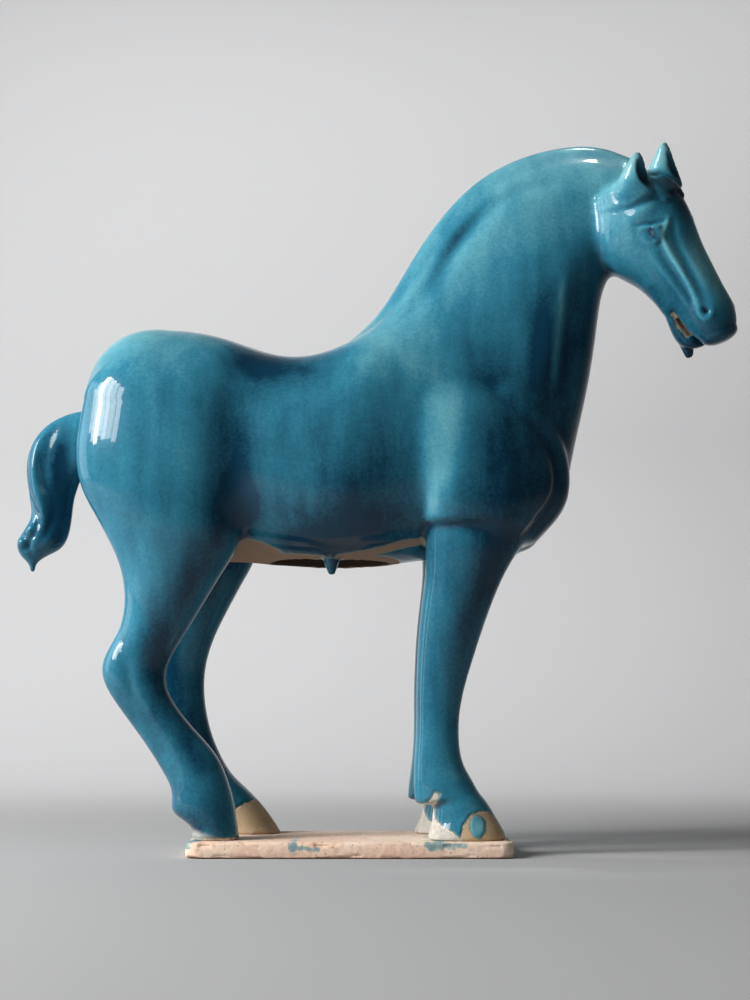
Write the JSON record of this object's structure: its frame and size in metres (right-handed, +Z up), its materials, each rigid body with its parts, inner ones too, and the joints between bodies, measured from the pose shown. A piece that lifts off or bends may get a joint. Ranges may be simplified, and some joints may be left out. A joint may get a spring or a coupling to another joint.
{
  "type": "glazed pottery tomb horse",
  "caption": "Standing turquoise-glazed pottery horse with arched neck and turned head, on a thin slab of bare clay.",
  "frame": {"origin": "middle of the slab's underside", "axes": "+X the way the horse faces, +Y its left side, +Z up"},
  "size_m": [0.5449, 0.1586, 0.5413],
  "materials": {
    "turquoise_glaze": "glossy",
    "bare_clay": "matte"
  },
  "bodies": {
    "root": {"horse": "turquoise_glaze", "base_slab": "bare_clay"}
  },
  "joints": []
}
